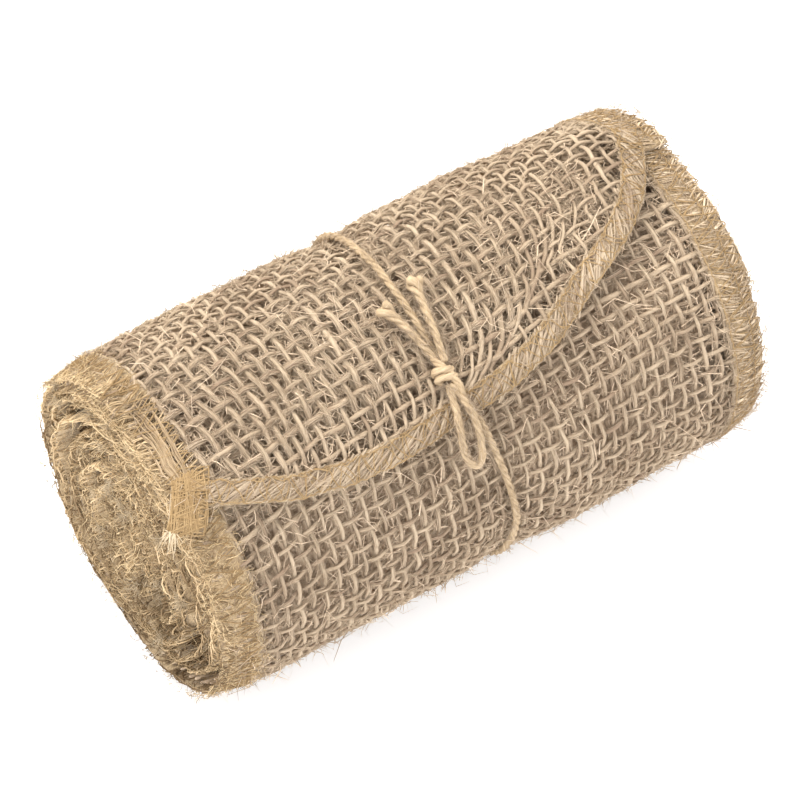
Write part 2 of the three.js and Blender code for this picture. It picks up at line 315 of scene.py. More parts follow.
def piece(name, corners, quads, triangles, uv, tone, material):
    """A mesh object from whole arrays: corners (n, 3), quads (q, 4), triangles (t, 3), one UV for each face
    corner with the quads' first, and a tone for each corner, mostly from 0 to 1."""
    mesh = bpy.data.meshes.new(name)
    mesh.vertices.add(len(corners))
    mesh.vertices.foreach_set("co", corners.astype(np.float32).ravel())
    around = np.concatenate([quads.ravel(), triangles.ravel()]).astype(np.int32)
    mesh.loops.add(len(around))
    mesh.loops.foreach_set("vertex_index", around)
    starts = np.concatenate([np.arange(len(quads)) * 4, 4 * len(quads) + np.arange(len(triangles)) * 3])
    mesh.polygons.add(len(starts))
    mesh.polygons.foreach_set("loop_start", starts.astype(np.int32))
    mesh.update(calc_edges=True)
    mesh.uv_layers.new(name="yarn").data.foreach_set("uv", uv.astype(np.float32).ravel())
    mesh.attributes.new("tone", "FLOAT", "POINT").data.foreach_set("value", tone.astype(np.float32).ravel())
    mesh.shade_smooth()
    mesh.materials.append(material)
    made = bpy.data.objects.new(name, mesh)
    bpy.context.scene.collection.objects.link(made)
    return made


def yarns(name, line, up, wide, high, sides, tone, material, tip=1.0):
    """Many closed yarns in one piece. line (n, m, 3) holds n middle lines of m points, up the way that high
    is measured, and wide and high are in millimetres. Each section is an ellipse of sides points square to
    the line. The ends close on a pole, drawn out to tip times the yarn's radius."""
    n, m = line.shape[:2]
    wide, high = (np.broadcast_to(np.asarray(v, float), (n, m)) * MM / 2 for v in (wide, high))
    way = unit(np.gradient(line, axis=1), 1e-12)
    side = unit(np.cross(way, up), 1e-12)
    top = np.cross(side, way)
    t = np.arange(sides) * 2 * np.pi / sides
    ring = (line[:, :, None] + side[:, :, None] * (np.cos(t)[:, None] * wide[..., None, None])
            + top[:, :, None] * (np.sin(t)[:, None] * high[..., None, None]))
    poles = np.stack([line[:, 0] - way[:, 0] * high[:, :1] * tip,
                      line[:, -1] + way[:, -1] * high[:, -1:] * tip], 1)
    corners = np.concatenate([ring.reshape(-1, 3), poles.reshape(-1, 3)])
    at = np.arange(n * m * sides).reshape(n, m, sides)
    nxt = np.roll(at, -1, axis=2)
    quads = np.stack([at[:, :-1], at[:, 1:], nxt[:, 1:], nxt[:, :-1]], -1).reshape(-1, 4)
    pole = n * m * sides + np.arange(2 * n).reshape(n, 2)
    first = np.stack([np.broadcast_to(pole[:, :1], (n, sides)), at[:, 0], nxt[:, 0]], -1)
    last = np.stack([np.broadcast_to(pole[:, 1:], (n, sides)), nxt[:, -1], at[:, -1]], -1)
    triangles = np.concatenate([first, last], 1).reshape(-1, 3)
    run = np.linalg.norm(np.diff(line, axis=1), axis=-1).cumsum(1) * 100
    run = np.concatenate([np.zeros((n, 1)), run], 1)
    u0, u1 = (np.repeat(r[:, :, None], sides, 2) for r in (run[:, :-1], run[:, 1:]))
    v0 = np.broadcast_to(np.arange(sides) / sides, u0.shape)
    v1 = v0 + 1 / sides
    uv4 = np.stack([np.stack(pair, -1) for pair in ((u0, v0), (u1, v0), (u1, v1), (u0, v1))], 3)
    uv3 = np.zeros((len(triangles), 3, 2))
    uv3[:, :, 0] = np.repeat(np.stack([run[:, 0], run[:, -1]], 1), sides, 1).reshape(-1, 1)
    tone = np.broadcast_to(np.asarray(tone, float).reshape(n, -1), (n, m))
    tones = np.concatenate([np.repeat(tone.ravel(), sides), tone[:, [0, -1]].ravel()])
    uv = np.concatenate([uv4.reshape(-1, 2), uv3.reshape(-1, 2)])
    return piece(name, corners, quads, triangles, uv, tones, material)


def slab(name, outer, inner, material):
    """A closed sheet between two grids of points (m, n, 3), with a wall round its rim."""
    m, n = outer.shape[:2]
    a = np.arange(m * n).reshape(m, n)
    b = a + m * n
    faces = [np.stack([a[:-1, :-1], a[1:, :-1], a[1:, 1:], a[:-1, 1:]], -1).reshape(-1, 4),
             np.stack([b[:-1, :-1], b[:-1, 1:], b[1:, 1:], b[1:, :-1]], -1).reshape(-1, 4)]
    rim = np.concatenate([a[0, :-1], a[:-1, -1], a[-1, :0:-1], a[:0:-1, 0]])
    beyond = np.roll(rim, -1)
    faces.append(np.stack([rim, beyond, beyond + m * n, rim + m * n], -1))
    quads = np.concatenate(faces)
    corners = np.concatenate([outer.reshape(-1, 3), inner.reshape(-1, 3)])
    made = piece(name, corners, quads, np.zeros((0, 3), int), np.zeros((len(quads) * 4, 2)),
                 np.full(len(corners), 0.5), material)
    # The winding follows the grids' own directions, so it is turned round where the volume is negative.
    p = corners[quads]
    volume = (np.einsum("ij,ij->i", p[:, 0], np.cross(p[:, 1], p[:, 2])) +
              np.einsum("ij,ij->i", p[:, 0], np.cross(p[:, 2], p[:, 3]))).sum()
    if volume < 0:
        made.data.flip_normals()
    return made


# ---- camera, lights and floor

scene = bpy.context.scene
scene.view_settings.view_transform = "Standard"

look_at = Vector((3.2, 3.95, 33.1)) * MM
swing, rise, reach = np.radians(33.35), np.radians(50.1), 0.926
back = Vector((-np.sin(swing) * np.cos(rise), -np.cos(swing) * np.cos(rise), np.sin(rise)))
camera = bpy.data.objects.new("camera", bpy.data.cameras.new("camera"))
camera.location = look_at + back * reach
camera.rotation_euler = (-back).to_track_quat("-Z", "Y").to_euler()
camera.data.lens = 183.4
camera.data.clip_end = 20
scene.collection.objects.link(camera)
scene.camera = camera


def lamp(name, where, size, power, colour=(1, 1, 1)):
    """A soft square light that points at the middle of the roll."""
    made = bpy.data.objects.new(name, bpy.data.lights.new(name, "AREA"))
    made.data.size, made.data.energy, made.data.color = size, power, colour
    made.location = where
    made.rotation_euler = (Vector((0, 0, 0.04)) - Vector(where)).to_track_quat("-Z", "Y").to_euler()
    scene.collection.objects.link(made)


lamp("key", (-0.15, 0.45, 0.95), 0.6, 13.2, (1.0, 0.965, 0.885))
lamp("front", (-0.9, -0.8, 0.7), 1.0, 10.6, (0.985, 0.99, 1.0))
lamp("side", (0.9, -0.5, 0.5), 0.9, 5.0)
world = bpy.data.worlds.new("room")
world.use_nodes = True
world.node_tree.nodes["Background"].inputs["Color"].default_value = (1.0, 0.99, 0.985, 1)
world.node_tree.nodes["Background"].inputs["Strength"].default_value = 1.12
scene.world = world

floor = bpy.data.objects.new("floor", bpy.data.meshes.new("floor"))
floor.data.from_pydata([(-4, -4, 0), (4, -4, 0), (4, 4, 0), (-4, 4, 0)], [], [(0, 1, 2, 3)])
paper = Finish("floor_paper")
paper.set(Base_Color=(0.75, 0.75, 0.76, 1), Roughness=0.9)
paper.set(Emission_Color=(1.0, 1.0, 1.0, 1), Emission_Strength=0.38)
floor.data.materials.append(paper.material)
scene.collection.objects.link(floor)


# ---- twine


def curve_through(points, step):
    """A smooth line through points: a Catmull-Rom spline with a point about every step millimetres."""
    p = np.asarray(points, float)
    p = np.concatenate([[2 * p[0] - p[1]], p, [2 * p[-1] - p[-2]]])
    out = []
    for a, b, c, d in zip(p[:-3], p[1:-2], p[2:-1], p[3:]):
        n = max(2, int(np.linalg.norm(c - b) / (step * MM)))
        t = np.linspace(0, 1, n, endpoint=False)[:, None]
        squared, cubed = 2 * a - 5 * b + 4 * c - d, 3 * b - 3 * c + d - a
        out.append(0.5 * (2 * b + (c - a) * t + squared * t ** 2 + cubed * t ** 3))
    return np.concatenate([*out, p[-2:-1]])


def laid_twine(name, path, seed, flare=(0, 0), lay=8.5):
    """Three plies on a helix round the path, one turn every lay millimetres. Each ply's own section turns
    with it. flare says how far, in millimetres, the plies come apart at the start and the end of the path."""
    way = unit(np.gradient(path, axis=0))
    side = unit(np.cross(way, (0.31, 0.17, 0.93)))
    top = np.cross(side, way)
    run = np.concatenate([[0], np.linalg.norm(np.diff(path, axis=0), axis=1).cumsum()]) / MM
    end = run[-1] - run
    apart = TWINE * 0.215 * (1 + 0.06 * ripple(seed, 9, run))
    apart = apart + flare[0] * np.exp(-run / 2.2) + flare[1] * np.exp(-end / 2.2)
    turn = run * 2 * np.pi / lay + seed
    phase = turn[None] + np.arange(3)[:, None] * 2 * np.pi / 3
    up = side * np.cos(phase)[..., None] + top * np.sin(phase)[..., None]
    line = path + up * (apart * MM)[:, None]
    brush = 1 + 0.9 * flare[1] * np.exp(-(end / 2.4) ** 2)
    thick = TWINE * 0.6 * brush * (1 + 0.08 * np.stack([ripple(seed + k, 5, run) for k in range(3)]))
    tone = np.random.default_rng(seed).uniform(0.35, 0.8, 3)
    return yarns(name, line, up, thick, thick, 8, tone, twine_jute, 0.6)


def tie_path():
    """The twine's ring, from the lower side of the knot round the roll to its upper side."""
    half_knot = 3.4
    low = np.arange(KNOT_ARC + half_knot, 37, 3)
    under = np.arange(66 * PER_DEGREE - TURN, FLAP_START, 4)
    over = np.arange(FLAP_START + 2, KNOT_ARC - half_knot, 4)
    over = np.append(over[:-1], KNOT_ARC - half_knot)
    points = [place(tie_x(low - TURN), low, 1.4), place(tie_x(under), under, 0.75),
              place(tie_x(over), over, 1.0)]
    return curve_through(np.concatenate(points), 0.8)


def on_hem(start, *places):
    """A path over the free end's cloth through (x, arc, height), from start millimetres below the knot."""
    p = np.array(places)
    return curve_through(place(KNOT_X + p[:, 0], KNOT_ARC + (start + p[:, 1]), p[:, 2]), 0.6)


low_side = 5.0 * PER_DEGREE
loop_path = on_hem(low_side, (-1.0, -2.4, 2.2), (-1.2, -1.2, 2.3), (-2.1, 3, 2.6), (-3.2, 6.6, 2.9),
                   (-4.1, 10.4, 2.9), (-3.7, 13.2, 2.8), (-2.1, 14.6, 2.7), (-0.4, 13.3, 2.8),
                   (0.5, 10, 3.1), (0.9, 5.8, 3.3), (0.6, 2.5, 3.1), (0.0, -1.0, 2.7), (-0.5, -2.4, 2.5))
left_tail_path = on_hem(-low_side, (-0.7, 0, 2.2), (-1.6, -5, 2.1), (-2.6, -10, 2.0), (-4.6, -15.4, 2.4))
right_tail_path = on_hem(-low_side, (0.7, 0, 2.8), (2.0, -5, 2.5), (3.4, -11, 2.3), (5.0, -17.8, 2.5))
wrap = np.linspace(-0.62, 3.38, 34) * np.pi  # the angle round the tie as the twine wraps it twice
wrap_share = (wrap - wrap[0]) / np.ptp(wrap)
knot_points = place(KNOT_X - 0.7 + 1.9 * np.cos(wrap), KNOT_ARC - 2.7 + 2.9 * wrap_share + 0.7 * np.cos(wrap),
                    2.2 + 1.5 * np.sin(wrap))
cross_over = on_hem(0, (-1.2, -5.0, 2.0), (-0.6, -3.0, 2.9), (0.4, -0.4, 3.3), (0.9, 2.4, 3.2),
                    (0.4, 5.4, 2.4))

tie_twine = laid_twine("twine_ring", tie_path(), 11)
knot_twine = laid_twine("twine_knot", curve_through(knot_points, 0.5), 12)
knot_cross = laid_twine("twine_knot_crossing", cross_over, 17)
loop_twine = laid_twine("twine_loop", loop_path, 13)
left_tail = laid_twine("twine_left_tail", left_tail_path, 14, (0, 1.0))
right_tail = laid_twine("twine_right_tail", right_tail_path, 15, (0, 1.1))


# ---- the weave

HOOP_STEP, AXIAL_STEP = 3.3, 4.1  # between yarns that run round the roll, and between those along it
CRIMP = 0.42  # how far a yarn rises and falls from the middle of the cloth where it crosses the others
HOOP_X = (np.arange(-19, 20) * HOOP_STEP)[:, None]
AXIAL_END = 70.5  # how far out from the middle the yarns along the roll run


def end_hem_arc(x):
    """The arc of the end hem's middle line at x."""
    return np.interp(x, END_HEM_LINE[:, 0], END_HEM_LINE[:, 1])


def woven(x, arc):
    """Where a point of the flat cloth lies on the roll, as (x, arc). The cloth is wound a little askew, dips
    towards both side hems, and near the end hem its hoop yarns swing to the left as the hem pulls them."""
    to_hem = (end_hem_arc(x) - arc) / np.sqrt(1 + ((end_hem_arc(x + 1) - end_hem_arc(x - 1)) / 2) ** 2)
    on_flap = smooth(FLAP_START - 25, FLAP_START + 12, arc)
    askew = -0.10 * x + 2.6 * smooth(40, 66, np.abs(x)) ** 1.5
    rows = -0.055 * x + 1.25 * smooth(-20, -62, x) * smooth(FLAP_START, 26, arc)
    rows = rows - 3.5 * smooth(10, 60, x)
    slant = askew * (1 - on_flap) + rows * on_flap
    right = smooth(-24, 12, x) * (1 - 0.8 * smooth(36, 56, x))
    pull = -(2.0 + 9.5 * right) * np.exp(-np.maximum(to_hem, 0) / (4.0 + 2.5 * right)) * on_flap
    lean = 5.0 * smooth(-36, -62, x) * smooth(-6, 24, arc) * on_flap
    keep = 1 - smooth(54, 66, np.abs(x))
    wander_x = 0.5 * ripple(5, 18, x, arc) + 0.22 * ripple(6, 6, x, arc)
    wander_arc = 0.6 * ripple(7, 19, x, arc) + 0.26 * ripple(8, 6, x, arc)
    return x + (pull + lean) * keep + wander_x * (0.4 + 0.6 * keep), arc + slant + wander_arc


def crossing(x, arc):
    """1 where a hoop yarn lies over an axial one, and -1 where it lies under: plain weave."""
    return np.cos(np.pi * x / HOOP_STEP) * np.cos(np.pi * arc / AXIAL_STEP)


def yarn_set(name, x, arc, seed, sides, wide, high, material, sign, lift=0.0):
    """Yarns whose flat middle lines are (x, arc), each (n, m). A yarn's thickness wanders and swells in
    slubs, and here and there it is brown. sign is 1 for hoop yarns and -1 for axial ones."""
    rng = np.random.default_rng(seed)
    n = len(x)
    own = rng.uniform(0, 400, (n, 1))
    run = x if sign < 0 else arc
    thick = 1 + 0.10 * ripple(seed, 5, run + own, own) + 0.11 * ripple(seed + 1, 24, run + own, own)
    thick = thick + 0.09 * ripple(seed + 4, 1.7, run + own, own)
    slubs = np.maximum(0, ripple(seed + 2, 30, run + own, own) - 0.8)
    thick = thick * rng.uniform(0.88, 1.14, (n, 1)) + 0.4 * slubs
    px, parc = woven(x, arc)
    middle = MID_CLOTH + lift + sign * CRIMP * crossing(x, arc)
    middle = middle + 0.10 * ripple(seed + 3, 11, x + own, arc)
    line = place(px, parc, middle)
    brown = 1.3 * smooth(0.45, 1.1, ripple(9 + (sign > 0), 9, x, arc))  # brown flecks of coarser fibre
    tone = rng.uniform(0, 1, (n, 1)) - brown
    return yarns(name, line, outward(px, parc), wide * thick, high * thick, sides, tone, material)


def hoop_yarns(name, from_arc, to_arc, seed, sides, per_crossing, material, **more):
    """Yarns that run round the roll between two arcs; to_arc may be different for each yarn."""
    to_arc = np.broadcast_to(to_arc(HOOP_X) if callable(to_arc) else to_arc, HOOP_X.shape)
    m = int(np.abs(to_arc - from_arc).max() / AXIAL_STEP * per_crossing) + 1
    arc = from_arc + (to_arc - from_arc) * np.linspace(0, 1, m)
    return yarn_set(name, HOOP_X + 0 * arc, arc, seed, sides, 0.88, 0.76, material, 1, **more)


def axial_yarns(name, from_arc, to_arc, seed, sides, per_crossing, material, span=None, **more):
    """Yarns that run along the roll, one to each whole step between two arcs. span gives the x where each
    starts and ends, for yarns that don't cross the whole width."""
    arc = (np.arange(np.ceil(from_arc / AXIAL_STEP), np.floor(to_arc / AXIAL_STEP) + 1) * AXIAL_STEP)[:, None]
    left, right = span(arc) if span else (-AXIAL_END + 0 * arc, AXIAL_END + 0 * arc)
    arc, left, right = (v[(right - left)[:, 0] > 4] for v in (arc, left, right))
    m = int(2 * AXIAL_END / HOOP_STEP * per_crossing) + 1
    x = left + (right - left) * np.linspace(0, 1, m)
    return yarn_set(name, x, arc + 0 * x, seed, sides, 0.98, 0.72, material, -1, **more)


def flap_end(x):
    """The flat arc at which a hoop yarn at x has run under the end hem."""
    arc = np.linspace(FLAP_START - 20, 60, 400)
    px, parc = woven(x + 0 * arc, arc + 0 * x)
    beyond = parc > end_hem_arc(px) - 1.0
    return arc[np.argmax(beyond, axis=1)][:, None]


def flap_span(arc):
    """The x between which an axial yarn of the flap shows inside the end hem, as (left, right)."""
    x = np.linspace(-AXIAL_END, AXIAL_END, 600)
    px, parc = woven(x + 0 * arc, arc + 0 * x)
    inside = parc < end_hem_arc(px) - 1.0
    left, right = x[np.argmax(inside, axis=1)], x[-1 - np.argmax(inside[:, ::-1], axis=1)]
    return left[:, None], np.where(inside.any(axis=1), right, left)[:, None]


join = FLAP_START - 6  # where the flap's yarns carry on from the outer turn's
outer_hoops = hoop_yarns("outer_hoop_yarns", LAYERS["outer"][0] - 6, join, 21, 6, 3.5, hoop_jute)
outer_axials = axial_yarns("outer_axial_yarns", LAYERS["outer"][0], join, 31, 6, 3.5, axial_jute)
# the second layer wears the jute that is painted paler, as painted light
second_hoops = hoop_yarns("second_hoop_yarns", *LAYERS["second"], 41, 4, 2, painted_light_deep_jute, lift=0.7)
second_axials = axial_yarns("second_axial_yarns", *LAYERS["second"], 51, 4, 2, painted_light_deep_jute, lift=0.7)
flap_hoops = hoop_yarns("flap_hoop_yarns", join, flap_end, 21, 7, 4.5, hoop_jute, lift=0.1)
flap_axials = axial_yarns("flap_axial_yarns", join, 60, 61, 7, 4, axial_jute, span=flap_span, lift=0.1)


# ---- inner turns and hems


def spiral_sheet(name, from_arc, to_arc, thick, material):
    """The strip between its side hems and between two arcs, as a closed sheet."""
    arc = np.linspace(from_arc, to_arc, int(abs(to_arc - from_arc) / 4) + 2)[:, None]
    x = np.linspace(-CLOTH, CLOTH, 8)[None]
    return slab(name, place(x, arc, 0.9), place(x, arc, 0.9 - thick), material)


inner_sheet = spiral_sheet("inner_turns_cloth", LAYERS["second"][0], INNER_END + 12, 1.8, inner_cloth)
inner_end = spiral_sheet("inner_end_hem_cloth", INNER_END + 11, INNER_END, 2.2, hem_cloth)


def end_reach(arc, side):
    """How far out the strip's edge stands at an arc: each turn by itself, and the core a little proud."""
    inward = (FREE_END - arc) / (FREE_END - INNER_END)
    turns = (FREE_END - arc) / TURN
    low_down = 0.5 - 0.5 * np.cos(np.radians(arc / PER_DEGREE - 30))
    bands = np.cos(2 * np.pi * turns / BAND_TURNS + ripple(84 + side, 150, arc))
    uneven = (0.5 + 2.2 * low_down) * bands * smooth(1.6, 3, turns)
    uneven = uneven + 0.7 * ripple(80 + side, 26, arc)
    uneven = uneven + 0.5 * ripple(82 + side, 8, arc) * smooth(0.9, 1.5, turns)
    return HALF - 0.4 + 1.8 * inward ** 1.5 - 9.0 * gap_share(arc) + uneven


def gap_share(arc):
    """1 where a turn's edge lies deepest behind its neighbours and leaves a gap, and 0 where there is none.
    The gaps are low on the roll and at its back."""
    turns = (FREE_END - arc) / TURN
    degrees = np.mod(arc / PER_DEGREE + 180, 360) - 180
    open_side = np.exp(-((degrees - 128) / 30) ** 2) + 0.8 * np.exp(-((degrees + 108) / 30) ** 2)
    return np.exp(-((turns - 1.9) / 0.55) ** 4) * open_side + 0.35 * np.exp(-((turns - 5.2) / 0.5) ** 2)


def hem_sheet(name, side):
    """The side hem's cloth, through all the turns, with its outer edge wavy."""
    arc = np.linspace(FLAP_START + 6, INNER_END, 1100)[:, None]
    share = np.linspace(0, 1, 5)[None]
    inset = 0.45 + 1.1 * smooth(0.9, 1.6, (FREE_END - arc) / TURN)
    x = side * (CLOTH - 1.0 + (end_reach(arc, side) - inset - CLOTH + 1.0) * share)
    uneven = 0.18 * ripple(73, 3.0, x, arc + 0 * x)
    rounding = 0.45 * share ** 4
    return slab(name, place(x, arc, -0.35 - rounding + uneven), place(x, arc, -1.75 + rounding), hem_cloth)


left_hem = hem_sheet("left_hem_cloth", -1)
right_hem = hem_sheet("right_hem_cloth", 1)


def turn_tone_and_painted_light(arc, seed):
    """A tone that changes from one turn to the next, as some turns' edges are paler than others, partly as
    painted shade for the valleys between turns. The gaps between turns are painted darker as shade, and the
    tone rises from the brown of the foot to the pale gold of the top as painted light falling from above."""
    turns = (FREE_END - arc) / TURN
    height = place(0, arc, -1)[..., 2] / 0.08  # 0 at the foot of the roll and 1 at its top
    spread = np.random.default_rng(seed).normal(0, 0.2, np.shape(arc))
    # painted shade: from one turn to the next the edges go paler and darker, standing for the valleys between
    # turns
    bands = (0.5 - 0.3 * height) * np.cos(2 * np.pi * turns / BAND_TURNS + ripple(84, 150, arc))
    # painted light rising with the height on the roll, and painted shade in the gaps between turns
    return np.clip(-0.2 + 1.25 * height + bands - 1.3 * gap_share(arc) + spread, -0.5, 1.2)


def edge_loops(name, side, n, seed, material):
    """Fibre wrapped over the strip's edge: short strands, each a U from the outer face round the edge to the
    inner face, leaning along the strip, n of them through all the turns."""
    rng = np.random.default_rng(seed)
    span = np.linspace(FLAP_START + 4, INNER_END, 4000)
    real = (1 - PITCH * (FREE_END - span) / TURN / RADIUS_Z).cumsum()  # a turn's true length shrinks inwards
    arc = (np.interp(np.linspace(real[0], real[-1], n), real, span) + rng.normal(0, 0.4, n))[:, None]
    t = np.linspace(-0.6, 0.6, 6)[None] * np.pi
    reach = end_reach(arc, side) + rng.normal(0, 0.25, (n, 1))
    deep = rng.uniform(1.8, 4.2, (n, 1))
    x = side * (reach - deep * (1 - np.cos(t)) ** 0.8)
    high = MID_CLOTH + rng.uniform(0.5, 0.95, (n, 1)) * np.sin(np.clip(t * 1.25, -np.pi / 2, np.pi / 2))
    lean = rng.normal(0.5, 4.0, (n, 1)) * np.sin(t)
    line = place(x, arc + lean, high)
    up = np.broadcast_to(np.array([0.2, 0.9, 0.35]), line.shape)
    thick = rng.uniform(0.2, 0.55, (n, 1)) * (1 - 0.55 * (t / t.max()) ** 2)
    # the loops' tone carries painted light from above and painted shade between the turns
    return yarns(name, line, up, thick, thick * 0.8, 4, turn_tone_and_painted_light(arc[:, 0], seed), material)


left_edge = edge_loops("left_edge_strands", -1, 1800, 91, hem_jute)
right_edge = edge_loops("right_edge_strands", 1, 1150, 92, pale_hem_jute)


def chevrons(name, side, from_arc, to_arc, seed, lift, material, astray, fine):
    """Two rows of slanting strands across the side hem's face, which meet in points like a knitted braid.
    astray says how much they stray from it, and fine how thick they are."""
    rng = np.random.default_rng(seed)
    n = int(abs(to_arc - from_arc) / (0.85 * fine ** 0.5))
    arc = np.linspace(from_arc, to_arc, n)
    rows = []
    for inner, outer_x, lean in ((CLOTH - 0.8, 68.4, 2.3), (67.9, 72.0, -2.3)):
        t = np.linspace(0, 1, 6)[None]
        x = side * (inner + rng.normal(0, astray, (n, 1)) * (1 - t) + (outer_x - inner) * t)
        a = arc[:, None] + rng.normal(0, 0.4, (n, 1)) + (lean + rng.normal(0, 3 * astray, (n, 1))) * (t - 0.5)
        high = lift + rng.normal(-0.25, 0.12, (n, 1)) + 0.4 * np.sin(np.pi * t)
        rows.append((x, a, high - 0.9 * smooth(70.3, 72.2, np.abs(x))))
    x, a, high = (np.concatenate(v) for v in zip(*rows))
    thick = fine * rng.uniform(0.25, 0.7, (2 * n, 1)) * (0.6 + 0.4 * np.sin(np.pi * np.linspace(0, 1, 6)))
    tone = rng.uniform(0.2, 0.95, 2 * n)
    return yarns(name, place(x, a, high), outward(x, a), thick, thick * 0.8, 4, tone, material)


def zigzag(run, step, phase):
    """A wave with straight flanks between 0 and 1 that turns back every step millimetres."""
    return np.abs(np.mod(run / step + phase, 2) - 1)


def hem_threads(name, side, from_arc, to_arc, seed, lift):
    """Overlocking thread along a side hem: three chains and two wide zigzags, in one piece."""
    rng = np.random.default_rng(seed)
    arc = np.linspace(from_arc, to_arc, int(abs(to_arc - from_arc) / 0.45))[None]
    x = np.concatenate([start + width * zigzag(arc, step, phase) for start, width, step, phase in (
        (CLOTH - 0.9, 0.35, 0.9, 0), (CLOTH - 0.3, 4.6, 1.9, 0.3), (CLOTH - 0.6, 8.4, 3.4, 0.9),
        (68.2, 0.5, 1.1, 0.2), (68.0, 4.4, 2.1, 0.5))])
    arc = arc + np.array([[0], [0.2], [-0.3], [0.4], [0]]) + 0.35 * ripple(seed, 4, arc, x)
    x = side * (x + 0.25 * ripple(seed + 1, 5, arc, x))
    high = lift + 0.28 + 0.12 * ripple(seed + 2, 3, arc, x) - 0.5 * smooth(70.5, 72.4, np.abs(x))
    shown = slice(1, 3) if side < 0 else slice(0, 5)  # the others are lost in the left hem's fluff
    line, up = place(x, arc, high)[shown], outward(x, arc)[shown]
    return yarns(name, line, up, 0.27, 0.24, 5, rng.uniform(0.2, 0.9, len(line)), thread_gold)


outer_reach = (FLAP_START - TURN - 6, FLAP_START + 5)
left_chevrons = chevrons("left_hem_strands", -1, *outer_reach, 101, -0.4, hem_jute, 0.6, 0.65)
right_chevrons = chevrons("right_hem_strands", 1, *outer_reach, 102, -0.05, pale_hem_jute, 0.5, 0.75)
left_threads = hem_threads("left_hem_threads", -1, *outer_reach, 103, 0.05)
right_threads = hem_threads("right_hem_threads", 1, *outer_reach, 104, 0.05)


# ---- the free end's hems


def along_end_hem(run, across):
    """The place (x, arc) that is run millimetres along the end hem and across from its middle line."""
    fine = np.linspace(0, 1, 900)
    line = END_HEM_LINE
    share = np.concatenate([[0], np.hypot(*np.diff(line, axis=0).T).cumsum()])
    px, pa = (np.interp(fine * share[-1], share, line[:, k]) for k in (0, 1))
    soft = np.hanning(61)  # rounds off the corners of the line
    pad = len(soft) - 1
    px, pa = (np.concatenate([2 * v[0] - v[pad:0:-1], v, 2 * v[-1] - v[-2:-pad - 2:-1]]) for v in (px, pa))
    px, pa = (np.convolve(v, soft / soft.sum(), "same")[pad:-pad] for v in (px, pa))
    at = np.concatenate([[0], np.hypot(np.diff(px), np.diff(pa)).cumsum()])
    dx, da = np.gradient(px, at), np.gradient(pa, at)
    x, a, tx, ta = (np.interp(run, at, v) for v in (px, pa, dx, da))
    return x - across * ta, a + across * tx


END_HEM_LENGTH = 158.0  # along its middle line
END_HEM_HALF = 2.7  # half of its width


def end_hem_base():
    """The hem's cloth as a closed band, thick in the middle and thin at both sides."""
    run = np.linspace(0, END_HEM_LENGTH, 160)[:, None]
    across = np.linspace(-END_HEM_HALF, END_HEM_HALF, 7)[None]
    x, arc = along_end_hem(run, across)
    bulge = 0.2 * (1 - (across / END_HEM_HALF) ** 2) + 0.12 * ripple(111, 3, run, across)
    return slab("end_hem_cloth", place(x, arc, -0.45 + bulge), place(x, arc, -1.7), hem_cloth)


def end_hem_strands():
    """The ends of the hoop yarns, caught in the hem as slanting strands, a few of them very pale."""
    rng = np.random.default_rng(112)
    n = int(END_HEM_LENGTH / 0.6)
    t = np.linspace(0, 1, 8)[None]
    run = (np.linspace(0.5, END_HEM_LENGTH, n) + rng.normal(0, 0.3, n))[:, None]
    ends = rng.normal(0, 0.35, (2, n, 1))
    across = -END_HEM_HALF + 0.1 + ends[0] + (2 * END_HEM_HALF - 0.4 + ends[1] - ends[0]) * t
    slant = rng.normal(9.0, 3.2, (n, 1))
    x, arc = along_end_hem(run - slant * (t - 0.5), across)
    high = -0.12 + 0.22 * np.sin(np.pi * t) + rng.normal(0, 0.1, (n, 1))
    thick = rng.uniform(0.26, 0.72, (n, 1)) * (0.65 + 0.35 * np.sin(np.pi * t))
    return yarns("end_hem_strands", place(x, arc, high), outward(x, arc), thick, thick * 0.65, 5,
                 rng.uniform(-0.5, 1.4, n), hoop_jute)


def end_hem_threads():
    """Overlocking thread on the end hem: chains along its sides, and two zigzags across."""
    run = np.linspace(0, END_HEM_LENGTH, 420)[None]
    width = END_HEM_HALF - 0.2
    across = np.concatenate([-width + 0.5 * zigzag(run, 1.0, 0), width - 0.4 * zigzag(run, 1.2, 0.4),
                             width * (2 * zigzag(run, 2.1, 0.2) - 1), width * (1 - 2 * zigzag(run, 3.0, 0.8)),
                             -width + 0.9 * zigzag(run, 2.6, 0.1)])
    run = run + 0.5 * ripple(113, 5, run, across)
    across = across + 0.25 * ripple(114, 4, run, across)
    x, arc = along_end_hem(run, across)
    high = 0.26 + 0.2 * ripple(115, 3, run, across)
    return yarns("end_hem_threads", place(x, arc, high), outward(x, arc), 0.25, 0.23, 5,
                 np.linspace(0.2, 0.9, 5), thread_gold)


end_base, end_strands, end_threads = end_hem_base(), end_hem_strands(), end_hem_threads()
flap_left_reach = (FLAP_START - 2, 19.0)
flap_left_strands = chevrons("left_flap_hem_strands", -1, *flap_left_reach, 121, -0.25, hem_jute, 0.5, 0.65)
flap_left_threads = hem_threads("left_flap_hem_threads", -1, *flap_left_reach, 122, 0.25)


def flap_edge_strands():
    """Pale strands that run down the flap's left hem into the tab, drawing together as they go."""
    rng = np.random.default_rng(124)
    n = 30
    t = np.linspace(0, 1, 9)[None]
    off = rng.normal(0, 1, (n, 1))
    arc = rng.uniform(-4, 8, (n, 1)) * (1 - t) + (19.5 + rng.normal(0, 0.8, (n, 1))) * t
    x = -67.4 - 0.6 * t + off * (2.0 - 0.8 * t) + 0.5 * ripple(125, 5, arc, off)
    high = 0.15 + 0.3 * rng.normal(0, 0.5, (n, 1)) + 0.3 * np.sin(np.pi * t)
    thick = rng.uniform(0.2, 0.5, (n, 1)) * (0.5 + 0.5 * np.sin(np.pi * t))
    return yarns("flap_hem_edge_strands", place(x, arc, high), outward(x, arc), thick, thick * 0.8, 5,
                 rng.uniform(-0.4, 0.7, n), twine_jute)


flap_edge = flap_edge_strands()

TAB = (-69.0, 22.4)  # the middle of the tab


